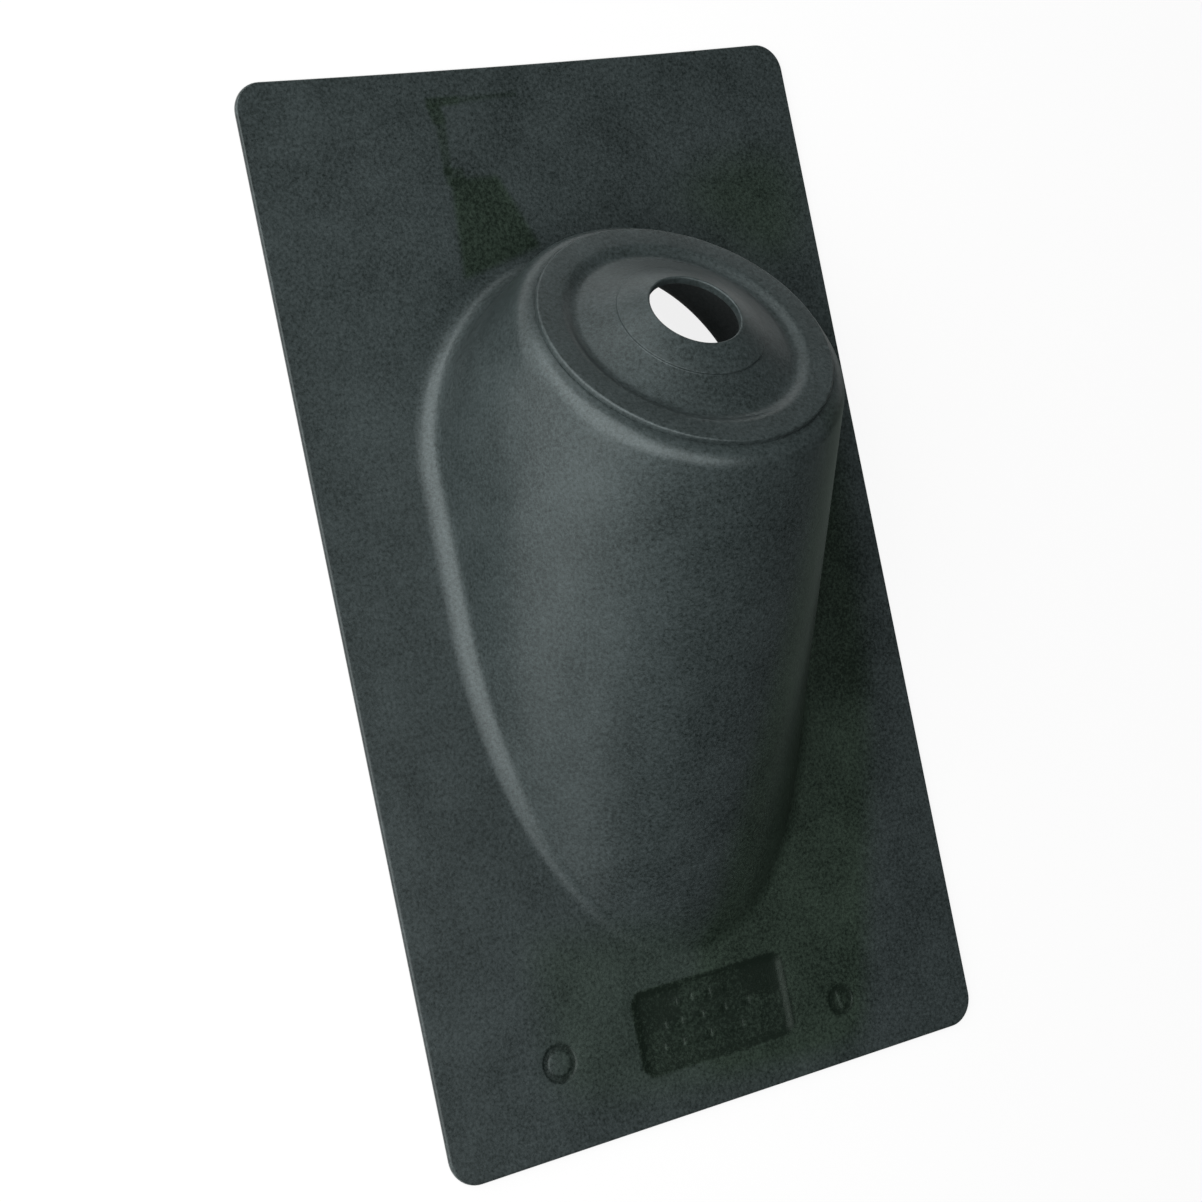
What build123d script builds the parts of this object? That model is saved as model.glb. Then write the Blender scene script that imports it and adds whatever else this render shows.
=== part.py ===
from build123d import *
import math
import os

# Roof pipe flashing, in millimetres and degrees. The plate's underside lies on z = 0, centred on the origin.
# +Y points up the roof and +Z away from it. The flashing is the same on both sides of x = 0, marks apart.

# Plate
plate_length = 400.0
plate_width = 240.0
plate_thickness = 2.2
plate_corner_radius = 11.0
plate_edge_rounding = 0.8

# Dome. Its foot line is half a circle up the roof, then runs straight and ends in half an ellipse.
wall = 2.2
foot_width = 143.0
foot_round_centre = 47.0
foot_straight_end = -10.0
foot_tip = -141.0
foot_fillet = 8.0

# Seat: the round top of the dome, square to the pipe
pipe_tilt = 37.0
seat_centre_y = 81.2
seat_centre_height = 71.3
seat_radius = 60.6
shoulder_rounding = 8.0
lip_width = 11.6

# Collar: a rubber seal whose grooved edge holds the lip, with a trough and a stepped cone up to the pipe
rim_reach = 6.2
rim_width = 9.7
rim_height = 2.2
rim_rounding = 0.9
under_flange_reach = 3.4
under_flange_height = 2.6
under_flange_width = 7.0
under_flange_taper = 1.0
trough_bank = 5.0
trough_depth = 2.2
trough_rounding = 3.0
cone_skin = 2.2
pipe_hole_radius = 16.8
pipe_hole_height = 12.5
inner_ring_width = 10.7
inner_ring_step = 0.8
pipe_lip_length = 3.4
pipe_lip_width = 2.4
pipe_lip_rounding = 0.6

# Marks that the mould leaves in the plate's top face, all sunk to one depth, each placed from the lower edge
mark_depth = 0.6
panel_width = 68.0
panel_height = 31.0
panel_corner_radius = 4.0
panel_edge_distance = 33.5
insert_radius = 7.0
insert_land_width = 9.2
insert_x = -69.0
insert_edge_distance = 33.0
dial_radius = 5.5
dial_bar_width = 1.6
dial_bar_length = 7.4
dial_bar_angle = 12.0
dial_x = 58.0
dial_edge_distance = 24.0

# Points nearer to each other than this are taken as the same place
same_place = 0.01

pipe_direction = Vector(0, math.sin(math.radians(pipe_tilt)), math.cos(math.radians(pipe_tilt)))
seat_centre = Vector(0, seat_centre_y, plate_thickness + seat_centre_height)
lip_hole_radius = seat_radius - lip_width
collar_radius = lip_hole_radius + rim_reach


def seat_plane(height):
    """Plane square to the pipe, at a height above the top face of the lip; its y runs up the roof."""
    return Plane(origin=seat_centre + pipe_direction * height, x_dir=(1, 0, 0), z_dir=pipe_direction)


def foot_inset(foot_reach, seat_reach, seat_lift):
    """How far the inner foot line, on the underside, lies inside the outer one, on the plate's top face."""
    slope = math.atan2(seat_centre_height + seat_lift, foot_reach - seat_reach)
    return wall / math.sin(slope) - plate_thickness / math.tan(slope)


def foot_edges(side_inset, top_inset, tip_inset, height):
    """Right half of the dome's foot line, from up the roof down to its tip, drawn in by insets."""
    level = Plane(origin=(0, 0, height))
    half = foot_width / 2 - side_inset
    round_centre = foot_round_centre + side_inset - top_inset
    tip_reach = foot_straight_end - foot_tip - tip_inset
    top_round = CenterArc((0, round_centre), half, 90, -90)
    side = Line((half, round_centre), (half, foot_straight_end))
    tip = EllipticalCenterArc((0, foot_straight_end), half, tip_reach, 0, arc_size=-90)
    return [level * curve.edge() for curve in (top_round, side, tip)]


def flank_angle(radius, height, half, level):
    """Angle on the seat's circle at which a flat flank meets both it and the foot line's straight side."""
    reach = (seat_plane(height).origin.Z - level) / math.sin(math.radians(pipe_tilt))
    return math.degrees(math.atan2(reach, half) - math.acos(radius / math.hypot(half, reach)))


def mirrored_wire(edges):
    """Closed line made of a right half and its mirror image."""
    return Wire(edges + [edge.mirror(Plane.YZ) for edge in edges])


def dome_solid(insets, level, radius, height):
    """Dome between its foot line and the seat's circle, walled by two curved faces and two flat flanks.

    Gives the closed solid, its foot line and its seat line.
    """
    top_round, side, tip = foot_edges(*insets, level)
    seat = seat_plane(height)
    split = flank_angle(radius, height, side.center().X, level)
    seat_top = seat * CenterArc((0, 0), radius, 90, split - 90).edge()
    seat_low = seat * CenterArc((0, 0), radius, split, -90 - split).edge()
    flank = Polyline(side @ 0, side @ 1, seat_low @ 0, close=True)
    faces = [
        Face.make_surface_from_curves(top_round, seat_top),
        make_face(flank).face(),
        Face.make_surface_from_curves(tip, seat_low),
    ]
    faces += [face.mirror(Plane.YZ) for face in faces]
    foot_line = mirrored_wire([top_round, side, tip])
    seat_line = mirrored_wire([seat_top, seat_low])
    return Solid(Shell(faces + [Face(foot_line), Face(seat_line)])), foot_line, seat_line


def rounded_plate():
    """The flat sheet with rounded corners and rounded upper and lower edges."""
    outline = RectangleRounded(plate_width, plate_length, plate_corner_radius)
    sheet = extrude(outline, plate_thickness)
    rims = [edge for edge in sheet.edges() if edge.bounding_box().size.Z < plate_edge_rounding / 2]
    return fillet(rims, plate_edge_rounding)


def edges_along(body, line):
    """Edges of a body that run along a line."""
    return [edge for edge in body.edges()
            if all(line.distance_to(edge.position_at(share)) < same_place for share in (0, 0.5, 1))]


def base_shell():
    """Plate and dome as one moulded shell, open underneath, with the lip that carries the collar."""
    outer, outer_foot, outer_seat = dome_solid((0, 0, 0), plate_thickness, seat_radius, 0)
    body = rounded_plate() + outer
    body = fillet(edges_along(body, outer_foot), foot_fillet)
    body = fillet(edges_along(body, outer_seat), shoulder_rounding)

    half = foot_width / 2
    seat_run = seat_radius * math.cos(math.radians(pipe_tilt))
    seat_lift = seat_radius * math.sin(math.radians(pipe_tilt))
    insets = (
        foot_inset(half, seat_radius, 0),
        foot_inset(foot_round_centre + half, seat_centre_y + seat_run, -seat_lift),
        foot_inset(-foot_tip, seat_run - seat_centre_y, seat_lift),
    )
    hollow, inner_foot, inner_seat = dome_solid(insets, 0, seat_radius - wall, -wall)
    hollow = fillet(edges_along(hollow, inner_seat), shoulder_rounding - wall)
    body = body - hollow
    body = fillet(edges_along(body, inner_foot), foot_fillet + plate_thickness)
    lip_hole = extrude(seat_plane(-2 * wall) * Circle(lip_hole_radius), 3 * wall)
    return body - lip_hole


def mould_marks():
    """Solids to sink into the plate: a label panel, a round insert's ring and a date dial with its bar."""
    sink = Plane(origin=(0, -plate_length / 2, plate_thickness - mark_depth))
    panel = RectangleRounded(panel_width, panel_height, panel_corner_radius)
    ring = Circle(insert_radius) - Circle(insert_land_width / 2)
    bar = Rot(0, 0, dial_bar_angle) * Rectangle(dial_bar_width, dial_bar_length)
    dial = Circle(dial_radius) - bar
    marks = (
        Pos(0, panel_edge_distance) * panel,
        Pos(insert_x, insert_edge_distance) * ring,
        Pos(dial_x, dial_edge_distance) * dial,
    )
    return [extrude(sink * mark, 2 * mark_depth) for mark in marks]


def collar_section():
    """Half section of the collar: x is the distance from the pipe's axis, y the height above the lip."""
    trough_radius = collar_radius - rim_width
    bank_foot = trough_radius - trough_bank
    trough_height = rim_height - trough_depth
    inner_ring_radius = pipe_hole_radius + inner_ring_width
    cone_rise = (pipe_hole_height - trough_height - inner_ring_step) / (bank_foot - pipe_hole_radius)
    ring_top = pipe_hole_height - inner_ring_width * cone_rise
    pipe_edge = (pipe_hole_radius, pipe_hole_height)
    lip_foot = pipe_hole_height - pipe_lip_length
    flange_foot = -wall - under_flange_height
    under_flange_radius = lip_hole_radius + under_flange_reach
    under_inner = under_flange_radius - under_flange_width
    outline = Polyline(
        pipe_edge,
        (inner_ring_radius, ring_top),
        (inner_ring_radius, ring_top - inner_ring_step),
        (bank_foot, trough_height),
        (trough_radius, rim_height),
        (collar_radius, rim_height),
        (collar_radius, 0),
        (lip_hole_radius, 0),
        (lip_hole_radius, -wall),
        (under_flange_radius, -wall),
        (under_flange_radius - under_flange_taper, flange_foot),
        (under_inner, flange_foot),
        (bank_foot, trough_height - cone_skin),
        (pipe_hole_radius + pipe_lip_width, lip_foot),
        (pipe_hole_radius, lip_foot),
        close=True,
    )
    section = make_face(outline)
    corners = {
        pipe_edge: pipe_lip_rounding,
        (bank_foot, trough_height): trough_rounding,
        (trough_radius, rim_height): trough_rounding,
        (collar_radius, rim_height): rim_rounding,
    }
    for corner, radius in corners.items():
        nearest = section.vertices().sort_by_distance(Vector(*corner))[0]
        section = fillet(nearest, radius)
    return section


def collar_seal():
    """The section turned round the pipe's axis."""
    upright = Plane(origin=seat_centre, x_dir=(1, 0, 0), z_dir=-seat_plane(0).y_dir)
    return revolve(upright * collar_section(), Axis(seat_centre, pipe_direction))


base = base_shell()
for mark in mould_marks():
    base = base - mark
collar = collar_seal()

os.makedirs("parts", exist_ok=True)
export_step(base, "parts/base.step")
export_step(collar, "parts/collar.step")
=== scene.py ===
import math

import bpy
import numpy as np
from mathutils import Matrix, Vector, geometry


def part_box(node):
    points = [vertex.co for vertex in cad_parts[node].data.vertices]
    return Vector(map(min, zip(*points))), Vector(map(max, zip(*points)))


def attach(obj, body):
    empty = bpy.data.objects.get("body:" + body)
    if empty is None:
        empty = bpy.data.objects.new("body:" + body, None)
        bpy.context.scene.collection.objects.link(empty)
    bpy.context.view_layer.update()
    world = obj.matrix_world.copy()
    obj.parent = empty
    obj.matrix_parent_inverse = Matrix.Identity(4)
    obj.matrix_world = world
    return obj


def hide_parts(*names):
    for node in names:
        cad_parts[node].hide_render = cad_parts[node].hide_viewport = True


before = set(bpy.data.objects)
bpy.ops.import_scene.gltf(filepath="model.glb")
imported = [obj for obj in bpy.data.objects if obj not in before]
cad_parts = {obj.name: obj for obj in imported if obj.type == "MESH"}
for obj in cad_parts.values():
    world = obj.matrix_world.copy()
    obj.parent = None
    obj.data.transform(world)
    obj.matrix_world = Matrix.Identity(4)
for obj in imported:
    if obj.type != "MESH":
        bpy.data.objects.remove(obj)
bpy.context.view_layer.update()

# CAMERA
# It looks down on the flashing from its left side, from about a metre away, with the plate's lower
# edge at the bottom of the picture.
camera_place = Vector((-0.50866, -0.00113, 0.82182))
camera_right = Vector((0.83804, -0.19896, 0.50804))
camera_up = Vector((0.17240, 0.98000, 0.09940))

camera_data = bpy.data.cameras.new("photo_camera")
camera_data.sensor_width = 36.0
camera_data.lens = 76.57
camera = bpy.data.objects.new("photo_camera", camera_data)
camera.matrix_world = Matrix((
    (camera_right.x, camera_up.x, camera_right.cross(camera_up).x, camera_place.x),
    (camera_right.y, camera_up.y, camera_right.cross(camera_up).y, camera_place.y),
    (camera_right.z, camera_up.z, camera_right.cross(camera_up).z, camera_place.z),
    (0.0, 0.0, 0.0, 1.0),
))
bpy.context.scene.collection.objects.link(camera)
bpy.context.scene.camera = camera
bpy.context.scene.view_settings.view_transform = "Standard"

# STUDIO
# A wide pale floor in a white room, with a broad soft window lamp on the left and four weaker lamps:
# far and back ones up the roof, one overhead and one low down. The floor shows as paper white, keeps
# part of the flashing's shadow, and lets some light up under the dome.
floor_reach = 3.0
floor_drop = 0.0002
paper_white = (1.0, 1.0, 1.0, 1.0)
floor_colour = (0.92, 0.92, 0.92, 1.0)
floor_glow = 0.85
floor_mirrored_glow = 0.03
floor_mirrored_right = (0.13, 0.16, 0.145, 1.0)
mirrored_right_start = -0.05
mirrored_right_full = 0.12
mirrored_far = 0.25
mirrored_near = 0.08
under_dome = (0.0, 0.03, 0.0)
under_dome_reach = 0.06
under_dome_glow = 0.24
room_glow = 0.02


def linked(nodes, links, kind, inputs, **settings):
    """Adds a node with its settings, and feeds each input with a value or another node's output."""
    node = nodes.new(kind)
    for name, value in settings.items():
        setattr(node, name, value)
    for socket, value in inputs.items():
        if isinstance(value, bpy.types.NodeSocket):
            links.new(value, node.inputs[socket])
        else:
            node.inputs[socket].default_value = value
    return node


def reckoned(nodes, links, operation, *values):
    """Output of a Math node that works on numbers or on other nodes' outputs."""
    return linked(nodes, links, "ShaderNodeMath", dict(enumerate(values)), operation=operation).outputs[0]


def studio_material():
    """Pale paper: part of what the camera sees is plain white, the rest takes light and shadow.

    To the right of the flashing the paper shows dark in its reflections, as by a dark wall there.
    """
    material = bpy.data.materials.new("studio_floor")
    material.use_nodes = True
    nodes, links = material.node_tree.nodes, material.node_tree.links
    nodes.clear()
    path = nodes.new("ShaderNodeLightPath")
    place = nodes.new("ShaderNodeTexCoord").outputs["Object"]

    axes = linked(nodes, links, "ShaderNodeSeparateXYZ", {0: place})
    right = linked(nodes, links, "ShaderNodeMapRange", {
        "Value": axes.outputs["X"], "From Min": mirrored_right_start, "From Max": mirrored_right_full})
    near = linked(nodes, links, "ShaderNodeMapRange", {
        "Value": axes.outputs["Y"], "From Min": mirrored_far, "From Max": mirrored_near})
    beside = reckoned(nodes, links, "MULTIPLY", right.outputs[0], near.outputs[0])
    dimmed = reckoned(nodes, links, "MULTIPLY", path.outputs["Is Glossy Ray"], beside)
    tint = linked(nodes, links, "ShaderNodeMix", {0: dimmed, 6: floor_colour, 7: floor_mirrored_right},
                  data_type="RGBA")
    paper = linked(nodes, links, "ShaderNodeBsdfDiffuse", {"Color": tint.outputs[2]})

    mirrored = reckoned(nodes, links, "MULTIPLY", path.outputs["Is Glossy Ray"], floor_mirrored_glow)
    seen = reckoned(nodes, links, "MULTIPLY_ADD", path.outputs["Is Camera Ray"], floor_glow, mirrored)
    away = linked(nodes, links, "ShaderNodeVectorMath", {0: place, 1: under_dome}, operation="DISTANCE")
    under = reckoned(nodes, links, "LESS_THAN", away.outputs["Value"], under_dome_reach)
    share = reckoned(nodes, links, "MULTIPLY_ADD", under, under_dome_glow, seen)
    glow = linked(nodes, links, "ShaderNodeEmission", {"Color": paper_white})
    mix = linked(nodes, links, "ShaderNodeMixShader", {0: share, 1: paper.outputs[0], 2: glow.outputs[0]})
    linked(nodes, links, "ShaderNodeOutputMaterial", {"Surface": mix.outputs[0]})
    return material


floor_mesh = bpy.data.meshes.new("floor")
floor_mesh.from_pydata(
    [(-floor_reach, -floor_reach, 0), (floor_reach, -floor_reach, 0),
     (floor_reach, floor_reach, 0), (-floor_reach, floor_reach, 0)], [], [(0, 1, 2, 3)])
floor_mesh.materials.append(studio_material())
floor = bpy.data.objects.new("floor", floor_mesh)
floor.location.z = -floor_drop
bpy.context.scene.collection.objects.link(floor)


lamp_aim = Vector((0.0, 0.0, 0.04))


def soft_lamp(name, place, width, height, power):
    """Rectangular area lamp that shines from a place towards the flashing."""
    data = bpy.data.lights.new(name, "AREA")
    data.shape = "RECTANGLE"
    data.size = width
    data.size_y = height
    data.energy = power
    lamp = bpy.data.objects.new(name, data)
    lamp.location = place
    lamp.rotation_euler = (lamp_aim - Vector(place)).to_track_quat("-Z", "Y").to_euler()
    bpy.context.scene.collection.objects.link(lamp)


soft_lamp("window_lamp", (-1.187, 0.252, 0.882), 2.4, 1.9, 46.5)
soft_lamp("far_lamp", (-0.66, 1.28, 0.42), 0.7, 0.35, 3.0)
soft_lamp("back_lamp", (0.0, 1.39, 0.56), 0.6, 0.45, 1.5)
soft_lamp("high_lamp", (-0.20, -0.20, 1.47), 1.0, 1.0, 7.5)
soft_lamp("low_lamp", (-0.80, -1.25, 0.25), 0.9, 0.35, 1.2)

room = bpy.data.worlds.new("room")
bpy.context.scene.world = room
room.use_nodes = True
room_nodes, room_links = room.node_tree.nodes, room.node_tree.links
room_light = reckoned(room_nodes, room_links, "MAXIMUM",
                      room_nodes.new("ShaderNodeLightPath").outputs["Is Camera Ray"], room_glow)
room_nodes["Background"].inputs["Color"].default_value = paper_white
room_links.new(room_light, room_nodes["Background"].inputs["Strength"])

# BASE
# The plate and its dome are one injection moulding in dark grey plastic, 2.2 mm thick all over.
# The dome's wall runs from a long rounded foot line up to a round seat that is square to the
# pipe, and turns in there as the lip that carries the collar.
_, base_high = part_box("base")
plate_half_width = base_high.x
plate_half_length = base_high.y
plate_thickness = 0.0022
plate_corner = 0.011
plate_edge_rounding = 0.0008
wall = 0.0022

foot_half_width = 0.0715
foot_round_centre = 0.047
foot_straight_end = -0.010
foot_tip = -0.141
foot_rounding = 0.008

pipe_tilt = math.radians(37.0)
pipe_direction = np.array((0.0, math.sin(pipe_tilt), math.cos(pipe_tilt)))
seat_up_roof = np.array((0.0, math.cos(pipe_tilt), -math.sin(pipe_tilt)))
seat_centre_height = 0.0713
seat_centre = np.array((0.0, 0.0812, plate_thickness + seat_centre_height))
seat_radius = 0.0606
shoulder_rounding = 0.008
lip_hole_radius = 0.049

foot_line_stations = 1201
half_loop_steps = 180
foot_steps = 9
wall_steps = 26
shoulder_steps = 8
plate_margin = 0.0004


def unit(vectors):
    """The same directions with length one."""
    return vectors / np.linalg.norm(vectors, axis=-1, keepdims=True)


def along(first, second):
    """Dot products, kept as a column."""
    return (first * second).sum(axis=-1, keepdims=True)


def corner_arc(corner, first, second, radius, steps):
    """Rows of the round that fills a corner, from its first side to its second."""
    opening = np.arccos(np.clip(along(first, second), -1.0, 1.0))
    centre = corner + unit(first + second) * radius / np.sin(opening / 2)
    reach = radius / np.tan(opening / 2)
    start = unit(corner + first * reach - centre)
    end = unit(corner + second * reach - centre)
    turn = math.pi - opening
    rows = []
    for share in np.linspace(0.0, 1.0, steps + 1):
        blend = np.sin((1.0 - share) * turn) * start + np.sin(share * turn) * end
        rows.append(centre + radius * blend / np.sin(turn))
    return rows


def even_row(row):
    """The same line with its points spaced evenly along it, for half a loop."""
    gaps = np.linalg.norm(np.diff(row, axis=0), axis=1)
    run = np.concatenate(([0.0], np.cumsum(gaps)))
    stations = np.linspace(0.0, run[-1], half_loop_steps + 1)
    return np.stack([np.interp(stations, run, row[:, axis]) for axis in range(3)], axis=1)


def whole_loop(half_row):
    """A right half row joined to its mirror image, as one closed loop that starts up the roof."""
    mirrored = half_row[-2:0:-1] * (-1.0, 1.0, 1.0)
    return np.concatenate((half_row, mirrored))


def foot_inset(foot_reach, seat_reach, seat_lift):
    """How far the inner foot line, on the underside, lies inside the outer one."""
    slope = math.atan2(seat_centre_height + seat_lift, foot_reach - seat_reach)
    return wall / math.sin(slope) - plate_thickness / math.tan(slope)


def dome_rows(insets, level, radius, height, foot_round, shoulder_round):
    """Rows of one skin of the dome, from the flat plate up over the wall to the flat seat.

    A station runs from 0 to 1 on the foot line's half circle, to 2 on its straight side and to 3 on
    its half ellipse. Straight lines join the foot line to the seat's circle, station by station.
    """
    side_inset, top_inset, tip_inset = insets
    half = foot_half_width - side_inset
    round_centre = foot_round_centre + side_inset - top_inset
    tip_reach = foot_straight_end - foot_tip - tip_inset
    seat_middle = seat_centre + pipe_direction * height
    drop = (seat_middle[2] - level) / math.sin(pipe_tilt)
    flank = math.atan2(drop, half) - math.acos(radius / math.hypot(half, drop))

    station = np.linspace(0.0, 3.0, foot_line_stations)
    top = np.clip(station, 0.0, 1.0)
    side = np.clip(station - 1.0, 0.0, 1.0)
    tip = np.clip(station - 2.0, 0.0, 1.0)
    foot_turn = np.where(station < 1.0, math.pi / 2 * (1.0 - top), -math.pi / 2 * tip)
    foot_middle = round_centre + (foot_straight_end - round_centre) * side
    foot_reach = np.where(station > 2.0, tip_reach, half)
    foot = np.stack((
        half * np.cos(foot_turn),
        foot_middle + foot_reach * np.sin(foot_turn),
        np.full_like(station, level),
    ), axis=1)
    seat_turn = math.pi / 2 + (flank - math.pi / 2) * top + (-math.pi / 2 - flank) * tip
    across = np.array((1.0, 0.0, 0.0))
    seat_spokes = np.cos(seat_turn)[:, None] * across + np.sin(seat_turn)[:, None] * seat_up_roof
    seat = seat_middle + radius * seat_spokes

    straight = (station >= 1.0) & (station <= 2.0)
    foot_run = np.stack((
        np.where(straight, 0.0, half * np.sin(foot_turn)),
        np.where(straight, -1.0, -foot_reach * np.cos(foot_turn)),
        np.zeros_like(station),
    ), axis=1)
    foot_run = unit(foot_run)
    foot_out = np.stack((-foot_run[:, 1], foot_run[:, 0], foot_run[:, 2]), axis=1)
    seat_run = np.sin(seat_turn)[:, None] * across - np.cos(seat_turn)[:, None] * seat_up_roof
    seat_in = unit(seat_middle - seat)
    ruling = seat - foot
    wall_up = unit(ruling - along(ruling, foot_run) * foot_run)
    wall_down = unit(along(ruling, seat_run) * seat_run - ruling)

    rows = corner_arc(foot, foot_out, wall_up, foot_round, foot_steps)
    rows.insert(0, rows[0] + foot_out * plate_margin)
    foot_opening = np.arccos(along(foot_out, wall_up))
    seat_opening = np.arccos(along(wall_down, seat_in))
    low_share = foot_round / np.tan(foot_opening / 2) / along(ruling, wall_up)
    high_share = 1.0 - shoulder_round / np.tan(seat_opening / 2) / along(-ruling, wall_down)
    for step in range(1, wall_steps):
        share = low_share + (high_share - low_share) * step / wall_steps
        rows.append(foot + ruling * share)
    rows += corner_arc(seat, wall_down, seat_in, shoulder_round, shoulder_steps)
    rows.append(rows[-1] + seat_in * plate_margin)
    return [whole_loop(even_row(row)) for row in rows]


def seat_ring(radius, height):
    """Closed loop round the pipe's axis, with as many points as the dome's rows."""
    turn = math.pi / 2 - np.arange(2 * half_loop_steps) * math.pi / half_loop_steps
    spokes = np.cos(turn)[:, None] * np.array((1.0, 0.0, 0.0)) + np.sin(turn)[:, None] * seat_up_roof
    return seat_centre + pipe_direction * height + radius * spokes


seat_run_length = seat_radius * math.cos(pipe_tilt)
seat_lift = seat_radius * math.sin(pipe_tilt)
inner_insets = (
    foot_inset(foot_half_width, seat_radius, 0.0),
    foot_inset(foot_round_centre + foot_half_width, seat_centre[1] + seat_run_length, -seat_lift),
    foot_inset(-foot_tip, seat_run_length - seat_centre[1], seat_lift),
)
outer_rows = dome_rows(
    (0.0, 0.0, 0.0), plate_thickness, seat_radius, 0.0, foot_rounding, shoulder_rounding)
inner_rows = dome_rows(
    inner_insets, 0.0, seat_radius - wall, -wall, foot_rounding + plate_thickness, shoulder_rounding - wall)
lip_rows = [seat_ring(lip_hole_radius, height) for height in (0.0, -wall / 2, -wall)]
skin_rows = outer_rows + lip_rows + inner_rows[::-1]


# The plate's rim is a rounded rectangle with both its edges rounded. The plate's faces are flat,
# and the mould leaves three sunk marks near the lower edge: a label panel, a round insert and a dial.
def rectangle_loop(half_x, half_y, corner, inset, centre=(0.0, 0.0), turn=0.0,
                   spacing=0.005, corner_steps=12):
    """Closed loop round a rectangle with rounded corners, drawn in by an inset (or out, below zero)."""
    points = []
    for quarter, (sign_x, sign_y) in enumerate(((1, 1), (-1, 1), (-1, -1), (1, -1))):
        middle = ((half_x - corner) * sign_x, (half_y - corner) * sign_y)
        for step in range(corner_steps + 1):
            angle = math.pi / 2 * (quarter + step / corner_steps)
            radius = corner - inset
            points.append((middle[0] + radius * math.cos(angle), middle[1] + radius * math.sin(angle)))
        side = 2 * ((half_x - corner) if quarter % 2 == 0 else (half_y - corner))
        steps = max(1, round(side / spacing))
        start = points[-1]
        heading = math.pi / 2 * (quarter + 2)
        for step in range(1, steps):
            points.append((start[0] + side * step / steps * math.cos(heading),
                           start[1] + side * step / steps * math.sin(heading)))
    points = np.array(points)
    spin = np.array(((math.cos(turn), math.sin(turn)), (-math.sin(turn), math.cos(turn))))
    return points @ spin + centre


def circle_loop(radius, centre, steps=72):
    """Closed loop round a circle."""
    turn = np.arange(steps) * 2 * math.pi / steps
    return np.stack((np.cos(turn), np.sin(turn)), axis=1) * radius + centre


def rim_rows():
    """Rows round the plate's rim, from the flat top face over the rounded edge to the flat underside."""
    rows = []
    quarter = np.linspace(0.0, math.pi / 2, 5)
    insets = [plate_edge_rounding * (1.0 - math.sin(angle)) for angle in quarter]
    drops = [plate_edge_rounding * (1.0 - math.cos(angle)) for angle in quarter]
    steps = [(plate_edge_rounding + plate_margin, plate_thickness)]
    steps += [(inset, plate_thickness - drop) for inset, drop in zip(insets, drops)]
    steps += [(inset, drop) for inset, drop in zip(insets[::-1], drops[::-1])]
    steps += [(plate_edge_rounding + plate_margin, 0.0)]
    for inset, height in steps:
        loop = rectangle_loop(plate_half_width, plate_half_length, plate_corner, inset)
        rows.append(np.column_stack((loop, np.full(len(loop), height))))
    return rows


# All the marks are sunk to one depth. A wall is a row of steps: how far outward of the mark's line
# each lies, and its share of that depth. The panel holds plain raised bars in three rows, each row
# given by its height in the panel and by its bars' middles and half widths.
mark_depth = 0.0006
mark_wall = ((0.0006, 0.0), (0.0003, 0.04), (0.0, 0.15), (-0.0003, 0.26), (-0.0006, 0.3))
panel_centre = np.array((0.0, 0.0335 - plate_half_length))
panel_half_width = 0.034
panel_half_height = 0.0155
panel_corner = 0.004
panel_wall = ((0.0009, 0.0), (0.0003, 0.10), (-0.0008, 0.45), (-0.0020, 0.85), (-0.0029, 1.0))
bar_half_height = 0.0016
bar_corner = 0.0009
bar_wall = ((0.0004, 1.0), (0.0001, 0.95), (-0.0002, 0.85), (-0.0005, 0.78))
bar_rows = (
    (0.0085, ((-0.0120, 0.0030), (-0.0045, 0.0035), (0.0035, 0.0032))),
    (0.0010, ((-0.0185, 0.0030), (-0.0100, 0.0040), (0.0000, 0.0045), (0.0105, 0.0045), (0.0200, 0.0032))),
    (-0.0068, ((-0.0200, 0.0035), (-0.0095, 0.0055), (0.0040, 0.0065), (0.0165, 0.0045))),
)
insert_centre = np.array((-0.069, 0.033 - plate_half_length))
insert_radius = 0.007
insert_land = 0.0046
dial_centre = np.array((0.058, 0.024 - plate_half_length))
dial_radius = 0.0055
dial_bar_half_width = 0.0008
dial_bar_half_length = 0.0037
dial_bar_corner = 0.0007
dial_turn = math.radians(12.0)


def mark_loops():
    """Loops that shape the sunk marks in the plate's top face, each with its height."""
    loops = []
    for offset, share in panel_wall:
        panel = rectangle_loop(panel_half_width, panel_half_height, panel_corner, -offset,
                               panel_centre, spacing=0.0015, corner_steps=10)
        loops.append((panel, plate_thickness - mark_depth * share))
    for height, bars in bar_rows:
        for middle, half_width in bars:
            for offset, share in bar_wall:
                bar = rectangle_loop(half_width, bar_half_height, bar_corner, -offset,
                                     panel_centre + (middle, height), spacing=0.0010, corner_steps=4)
                loops.append((bar, plate_thickness - mark_depth * share))
    for offset, share in mark_wall:
        depth = plate_thickness - mark_depth * share
        loops.append((circle_loop(insert_radius + offset, insert_centre), depth))
        loops.append((circle_loop(insert_land - offset, insert_centre), depth))
        loops.append((circle_loop(dial_radius + offset, dial_centre), depth))
        bar = rectangle_loop(dial_bar_half_width, dial_bar_half_length, dial_bar_corner, offset,
                             dial_centre, dial_turn, spacing=0.0008, corner_steps=4)
        loops.append((bar, depth))
    return loops


def inside(points, loop):
    """Which points lie inside a closed loop."""
    x, y = points[:, 0:1], points[:, 1:2]
    x0, y0 = loop[:, 0], loop[:, 1]
    x1, y1 = np.roll(x0, -1), np.roll(y0, -1)
    crosses = (y0 > y) != (y1 > y)
    with np.errstate(divide="ignore", invalid="ignore"):
        hit = x < (x1 - x0) * (y - y0) / (y1 - y0) + x0
    return (np.sum(crosses & hit, axis=1) % 2).astype(bool)


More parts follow.
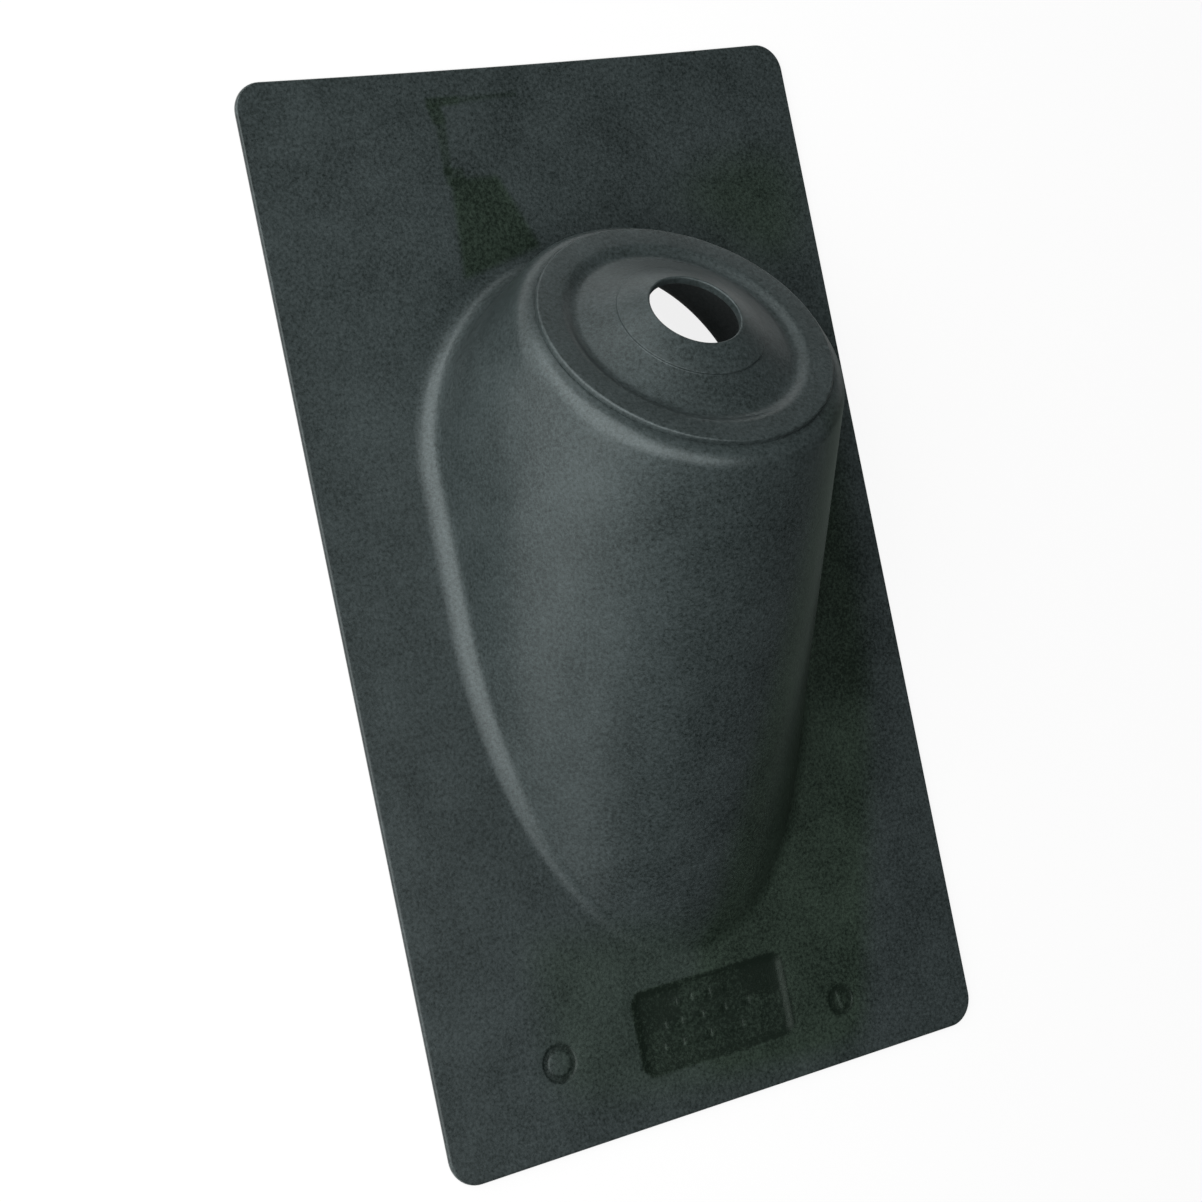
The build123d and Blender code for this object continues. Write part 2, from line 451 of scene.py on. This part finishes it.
def flat_face(outer, hole, loops, height, spacing=0.007):
    """Triangles that fill the flat between an outer loop and a hole, through the loops in it.

    Gives the points added to those of the two loops, and the triangles, numbered outer, hole, added.
    """
    added = [np.column_stack((loop, np.full(len(loop), depth))) for loop, depth in loops]
    lines = [outer[:, :2], hole[:, :2]] + [loop for loop, _ in loops]
    fixed = np.concatenate(lines)
    across = np.arange(-plate_half_width, plate_half_width, spacing)
    up = np.arange(-plate_half_length, plate_half_length, spacing)
    grid = np.array([(x + (row % 2) * spacing / 2, y) for row, y in enumerate(up) for x in across])
    clear = np.array([np.min(np.hypot(*(fixed - point).T)) > 0.4 * spacing for point in grid])
    grid = grid[clear & inside(grid, outer[:, :2]) & ~inside(grid, hole[:, :2])]
    depth = np.full(len(grid), height)
    if loops:
        depth[inside(grid, loops[0][0])] = plate_thickness - mark_depth
    added.append(np.column_stack((grid, depth)))
    edges = []
    first = 0
    for line in lines:
        count = len(line)
        edges += [(first + step, first + (step + 1) % count) for step in range(count)]
        first += count
    points = [Vector(point) for point in np.concatenate((fixed, grid))]
    found, _, faces, origins, _, _ = geometry.delaunay_2d_cdt(points, edges, [], 0, 1e-7)
    assert len(found) == len(points), "the plate's loops cross"
    number = [origin[0] for origin in origins]
    faces = np.array([[number[corner] for corner in face] for face in faces])
    flat = np.concatenate((fixed, grid))
    middles = flat[faces].mean(axis=1)
    keep = inside(middles, outer[:, :2]) & ~inside(middles, hole[:, :2])
    return np.concatenate(added), faces[keep]


def band_faces(first, second, count):
    """Quads between two closed rows of points, given the number of each row's first point."""
    return [(first + step, first + (step + 1) % count, second + (step + 1) % count, second + step)
            for step in range(count)]


def base_mesh():
    """The whole shell as one closed mesh."""
    points = []
    faces = []
    total = 0

    def add_rows(rows):
        """Adds closed rows with quads between them, and gives the number of each row's first point."""
        nonlocal total
        starts = []
        for row in rows:
            points.append(row)
            starts.append(total)
            total += len(row)
        for first, second in zip(starts, starts[1:]):
            faces.extend(band_faces(first, second, len(rows[0])))
        return starts

    rim = rim_rows()
    rim_starts = add_rows(rim)
    skin_starts = add_rows(skin_rows)
    for loops, outer, hole, outer_start, hole_start, flip in (
        (mark_loops(), rim[0], skin_rows[0], rim_starts[0], skin_starts[0], False),
        ([], rim[-1], skin_rows[-1], rim_starts[-1], skin_starts[-1], True),
    ):
        added, triangles = flat_face(outer, hole, loops, outer[0, 2])
        numbers = np.concatenate((
            outer_start + np.arange(len(outer)),
            hole_start + np.arange(len(hole)),
            total + np.arange(len(added)),
        ))
        points.append(added)
        total += len(added)
        triangles = numbers[triangles]
        faces.extend(tuple(triangle[::-1] if flip else triangle) for triangle in triangles.tolist())
    return np.concatenate(points), faces


base_points, base_faces = base_mesh()

# The moulding's upper edge is drawn in a little at its middle.
upper_bow = 0.0010
bow_start = 0.150
bow_run = 0.050
edge_share = np.clip((base_points[:, 1] - bow_start) / bow_run, 0.0, 1.0)
edge_share = edge_share ** 2 * (3.0 - 2.0 * edge_share)
base_points[:, 1] -= upper_bow * (1.0 - (base_points[:, 0] / plate_half_width) ** 2) * edge_share
shell = bpy.data.meshes.new("base_shell")
shell.from_pydata(base_points.tolist(), [], base_faces)
shell.validate()
shell.update()


# The plastic is dark grey, with a fine mottle and grain on cloudy patches, and a faint cold sheen.
# Soft patches over it are darker, some of them greener, and some of them painted shade.
cloud_scale = 45.0
cloud_share = 0.62
speck_scale = 800.0
speck_share = 1.3
grain_scale = 2000.0
grain_share = 0.9
mottle_height = 0.00005
grey_dark = (0.0055, 0.0088, 0.0080, 1.0)
grey_light = (0.0455, 0.0583, 0.0590, 1.0)
grey_green = (0.85, 1.0, 0.74, 1.0)
sheen_cold = (0.89, 0.99, 1.0, 1.0)
sheen_green = (0.84, 1.0, 0.90, 1.0)
plastic_roughness = 0.34


def soft_step(nodes, links, value, start, softness):
    """Rises smoothly from 0 to 1 as a value passes its start."""
    return linked(nodes, links, "ShaderNodeMapRange", {
        "Value": value, "From Min": start - softness, "From Max": start + softness,
        "To Min": 0.0, "To Max": 1.0}, interpolation_type="SMOOTHSTEP").outputs[0]


def patch_cover(nodes, links, place, corners, softness):
    """1 inside a flat shape with straight sides, seen from above, with its corners against the clock."""
    cover = 1.0
    for corner, following in zip(corners, corners[1:] + corners[:1]):
        inward = Vector((corner[1] - following[1], following[0] - corner[0], 0.0)).normalized()
        depth = linked(nodes, links, "ShaderNodeVectorMath", {0: place, 1: inward}, operation="DOT_PRODUCT")
        start = inward.x * corner[0] + inward.y * corner[1]
        side = soft_step(nodes, links, depth.outputs["Value"], start, softness)
        cover = reckoned(nodes, links, "MULTIPLY", cover, side)
    return cover


def ring_cover(nodes, links, place, centre, radius, half_width, softness):
    """1 on a round line, seen from above."""
    flat = linked(nodes, links, "ShaderNodeVectorMath", {0: place, 1: (1.0, 1.0, 0.0)}, operation="MULTIPLY")
    reach = linked(nodes, links, "ShaderNodeVectorMath", {0: flat.outputs[0], 1: (*centre, 0.0)},
                   operation="DISTANCE")
    away = reckoned(nodes, links, "SUBTRACT", reach.outputs["Value"], radius)
    near = reckoned(nodes, links, "SUBTRACT", 0.0, reckoned(nodes, links, "ABSOLUTE", away))
    return soft_step(nodes, links, near, -half_width, softness)


def mottled_grey(name, roughness, tone_patches=(), rings=()):
    """Dark grey moulding: a fine mottle and grain on cloudy patches, with soft patches over them, some
    painted shade.

    Each patch is given as its corners, the softness of its edge, its strength and its greenness, and
    each ring as its centre, radius, half width, softness and strength. A strength below zero darkens.
    """
    material = bpy.data.materials.new(name)
    material.use_nodes = True
    nodes, links = material.node_tree.nodes, material.node_tree.links
    surface = nodes["Principled BSDF"]
    place = nodes.new("ShaderNodeTexCoord").outputs["Object"]

    cloud = linked(nodes, links, "ShaderNodeTexNoise", {"Vector": place, "Scale": cloud_scale, "Detail": 4.0})
    speck = linked(nodes, links, "ShaderNodeTexNoise", {"Vector": place, "Scale": speck_scale, "Detail": 2.0})
    grain = linked(nodes, links, "ShaderNodeTexNoise", {"Vector": place, "Scale": grain_scale, "Detail": 1.0})
    tone = reckoned(nodes, links, "MULTIPLY_ADD", cloud.outputs[0], cloud_share, 0.5 - cloud_share / 2)
    for mottle, share in ((speck, speck_share), (grain, grain_share)):
        level = reckoned(nodes, links, "SUBTRACT", mottle.outputs[0], 0.5)
        tone = reckoned(nodes, links, "MULTIPLY_ADD", level, share, tone)
    green = 0.0
    for corners, softness, strength, greenness in tone_patches:
        cover = patch_cover(nodes, links, place, corners, softness)
        tone = reckoned(nodes, links, "MULTIPLY_ADD", cover, strength, tone)
        green = reckoned(nodes, links, "MULTIPLY_ADD", cover, greenness, green)
    for centre, radius, half_width, softness, strength in rings:
        cover = ring_cover(nodes, links, place, centre, radius, half_width, softness)
        tone = reckoned(nodes, links, "MULTIPLY_ADD", cover, strength, tone)

    colour = linked(nodes, links, "ShaderNodeMix", {0: tone, 6: grey_dark, 7: grey_light}, data_type="RGBA")
    if tone_patches:
        colour = linked(nodes, links, "ShaderNodeMix", {0: green, 6: colour.outputs[2], 7: grey_green},
                        data_type="RGBA", blend_type="MULTIPLY")
        sheen = linked(nodes, links, "ShaderNodeMix", {0: green, 6: sheen_cold, 7: sheen_green},
                       data_type="RGBA")
        links.new(sheen.outputs[2], surface.inputs["Specular Tint"])
    else:
        surface.inputs["Specular Tint"].default_value = sheen_cold
    links.new(colour.outputs[2], surface.inputs["Base Color"])
    surface.inputs["Roughness"].default_value = roughness
    bump = linked(nodes, links, "ShaderNodeBump", {
        "Height": speck.outputs[0], "Strength": 1.0, "Distance": mottle_height})
    links.new(bump.outputs[0], surface.inputs["Normal"])
    return material


# The base's patches, as seen from above. Those marked below are painted shade.
base_patches_and_painted_shade = (
    # a thin bent mark near the upper edge, and the wedge that hangs from it above the dome
    (((-0.0440, 0.1855), (-0.0300, 0.1860), (-0.0300, 0.1890), (-0.0440, 0.1890)), 0.0010, -0.28, 0.8),
    (((-0.0300, 0.1865), (-0.0050, 0.1875), (-0.0050, 0.1885), (-0.0300, 0.1885)), 0.0012, -0.20, 0.5),
    (((-0.0425, 0.1790), (-0.0370, 0.1800), (-0.0385, 0.1860), (-0.0440, 0.1860)), 0.0012, -0.22, 0.8),
    (((-0.0425, 0.1600), (-0.0390, 0.1600), (-0.0375, 0.1800), (-0.0415, 0.1800)), 0.0010, -0.20, 0.5),
    (((-0.0420, 0.1560), (-0.0340, 0.1560), (-0.0340, 0.1620), (-0.0420, 0.1630)), 0.0012, -0.15, 0.6),
    (((-0.0425, 0.1210), (-0.0080, 0.1300), (-0.0200, 0.1580), (-0.0400, 0.1580)), 0.0018, -0.26, 1.0),
    # the paler upper left, and wide dark zones to the right, along the lower edge and at the upper right
    (((-0.1100, 0.0600), (-0.0440, 0.0600), (-0.0440, 0.1860), (-0.1100, 0.1860)), 0.0120, 0.05, 0.0),
    (((-0.0050, -0.1850), (0.0660, -0.1900), (0.0880, -0.1230), (0.1060, -0.0420), (0.1080, 0.0400),
      (0.0360, 0.0450)), 0.0100, -0.12, 1.0),
    (((-0.0720, -0.1800), (-0.0200, -0.1950), (0.0600, -0.1950), (0.0660, -0.1400), (-0.0710, -0.1210)),
     0.0120, -0.03, 0.6),
    (((0.0950, 0.1120), (0.1110, 0.1160), (0.1150, 0.1520), (0.0920, 0.1600), (0.0580, 0.1430)),
     0.0140, -0.08, 0.8),
    # painted shade: the dark strip on the plate beside the dome's shaded right side
    (((0.0760, -0.0600), (0.1120, -0.0600), (0.1160, 0.0800), (0.0760, 0.0800)), 0.0120, -0.20, 0.0),
    # the panel: dark as a whole, darker on its sunk rim as painted shade, and darkest in its two upper
    # corners
    (((-0.0352, -0.1790), (-0.0315, -0.1827), (0.0315, -0.1827), (0.0352, -0.1790), (0.0352, -0.1540),
      (0.0315, -0.1503), (-0.0315, -0.1503), (-0.0352, -0.1540)), 0.0008, -0.40, 0.4),
    (((-0.0320, -0.1775), (-0.0295, -0.1797), (0.0285, -0.1797), (0.0310, -0.1775), (0.0310, -0.1550),
      (0.0285, -0.1525), (-0.0295, -0.1525), (-0.0320, -0.1550)), 0.0008, 0.14, 0.0),
    (((-0.0320, -0.1670), (-0.0130, -0.1640), (-0.0130, -0.1510), (-0.0320, -0.1510)), 0.0015, -0.22, 0.4),
    (((0.0150, -0.1630), (0.0320, -0.1660), (0.0320, -0.1510), (0.0150, -0.1510)), 0.0015, -0.26, 0.4),
    # painted shade on the plate's left edge, where its side face lies in shade
    (((-0.1210, -0.1890), (-0.1191, -0.1890), (-0.1191, 0.1890), (-0.1210, 0.1890)), 0.0004, -0.40, 0.0),
)
# painted shade in the sunk rings of the insert and the dial
painted_ring_shade = (
    (tuple(insert_centre), 0.0058, 0.0015, 0.0007, -0.42),
    (tuple(dial_centre), 0.0044, 0.0018, 0.0008, -0.34),
)
shell.materials.append(mottled_grey("grey_plastic", plastic_roughness, base_patches_and_painted_shade, painted_ring_shade))
base_shell = bpy.data.objects.new("base_shell", shell)
bpy.context.scene.collection.objects.link(base_shell)


true_edge_angle = math.radians(50)


def face_outward(piece):
    """Turns every face of a closed piece outward, and shades it smooth but for its true edges."""
    bpy.context.view_layer.objects.active = piece
    piece.select_set(True)
    bpy.ops.object.mode_set(mode="EDIT")
    bpy.ops.mesh.select_all(action="SELECT")
    bpy.ops.mesh.normals_make_consistent(inside=False)
    bpy.ops.object.mode_set(mode="OBJECT")
    piece.select_set(False)
    piece.data.shade_smooth()
    piece.data.set_sharp_from_angle(angle=true_edge_angle)


face_outward(base_shell)
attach(base_shell, "root")
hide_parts("base")

# COLLAR
# One rubber moulding. A groove round its edge grips the dome's lip, a trough runs inside its flat
# rim, and a stepped cone rises to the hole that stretches over the pipe.
rim_radius = 0.0552
rim_height = 0.0022
rim_rounding = 0.0009
rim_inner = 0.0455
rim_inner_rounding = 0.0055
trough_radius = 0.0413
trough_height = 0.0
trough_rounding = 0.0045
ring_radius = 0.0275
ring_height = 0.0072
ring_step = 0.0008
hole_radius = 0.0168
hole_height = 0.0125
hole_rounding = 0.0006
lip_foot = 0.0091
lip_width = 0.0024
cone_skin = 0.0022
flange_radius = 0.0524
flange_inner = 0.0454
flange_height = 0.0026
flange_taper = 0.0010
groove_edge = 0.0001
rubber_roughness = 0.40
collar_steps = 288


def rounded_profile(corners, steps=6):
    """Closed half section through corners (radius, height, rounding), each corner rounded by an arc."""
    points = []
    count = len(corners)
    for number, (radius, height, rounding) in enumerate(corners):
        corner = np.array((radius, height))
        before = unit(np.array(corners[number - 1][:2]) - corner)
        after = unit(np.array(corners[(number + 1) % count][:2]) - corner)
        opening = math.acos(float(before @ after))
        reach = rounding / math.tan(opening / 2)
        centre = corner + unit(before + after) * rounding / math.sin(opening / 2)
        start = corner + before * reach - centre
        end = corner + after * reach - centre
        turn = math.pi - opening
        for share in np.linspace(0.0, 1.0, steps + 1):
            blend = math.sin((1.0 - share) * turn) * start + math.sin(share * turn) * end
            points.append(centre + blend / math.sin(turn))
    return points


# From the hole's upper edge out over the cone, trough and rim, in along the groove, and back
# under the trough and cone to the hole.
collar_profile = rounded_profile((
    (hole_radius, hole_height, hole_rounding),
    (ring_radius, ring_height, 0.0003),
    (ring_radius, ring_height - ring_step, 0.0004),
    (trough_radius, trough_height, trough_rounding),
    (rim_inner, rim_height, rim_inner_rounding),
    (rim_radius, rim_height, rim_rounding),
    (rim_radius, 0.0, groove_edge),
    (lip_hole_radius, 0.0, groove_edge),
    (lip_hole_radius, -wall, groove_edge),
    (flange_radius, -wall, groove_edge),
    (flange_radius - flange_taper, -wall - flange_height, 0.0004),
    (flange_inner, -wall - flange_height, 0.0004),
    (trough_radius, trough_height - cone_skin, 0.0010),
    (hole_radius + lip_width, lip_foot, 0.0004),
    (hole_radius, lip_foot, 0.0003),
))


def collar_mesh():
    """The section turned round the pipe's axis."""
    turn = np.arange(collar_steps) * 2 * math.pi / collar_steps
    spokes = np.cos(turn)[:, None] * np.array((1.0, 0.0, 0.0)) + np.sin(turn)[:, None] * seat_up_roof
    rings = [seat_centre + pipe_direction * height + radius * spokes for radius, height in collar_profile]
    count = len(rings)
    faces = []
    for ring in range(count):
        faces += band_faces(ring * collar_steps, (ring + 1) % count * collar_steps, collar_steps)
    return np.concatenate(rings), faces


collar_points, collar_faces = collar_mesh()
seal = bpy.data.meshes.new("collar_seal")
seal.from_pydata(collar_points.tolist(), [], collar_faces)
seal.validate()
seal.materials.append(mottled_grey("grey_rubber", rubber_roughness))
collar_seal = bpy.data.objects.new("collar_seal", seal)
bpy.context.scene.collection.objects.link(collar_seal)
face_outward(collar_seal)
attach(collar_seal, "root")
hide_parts("collar")
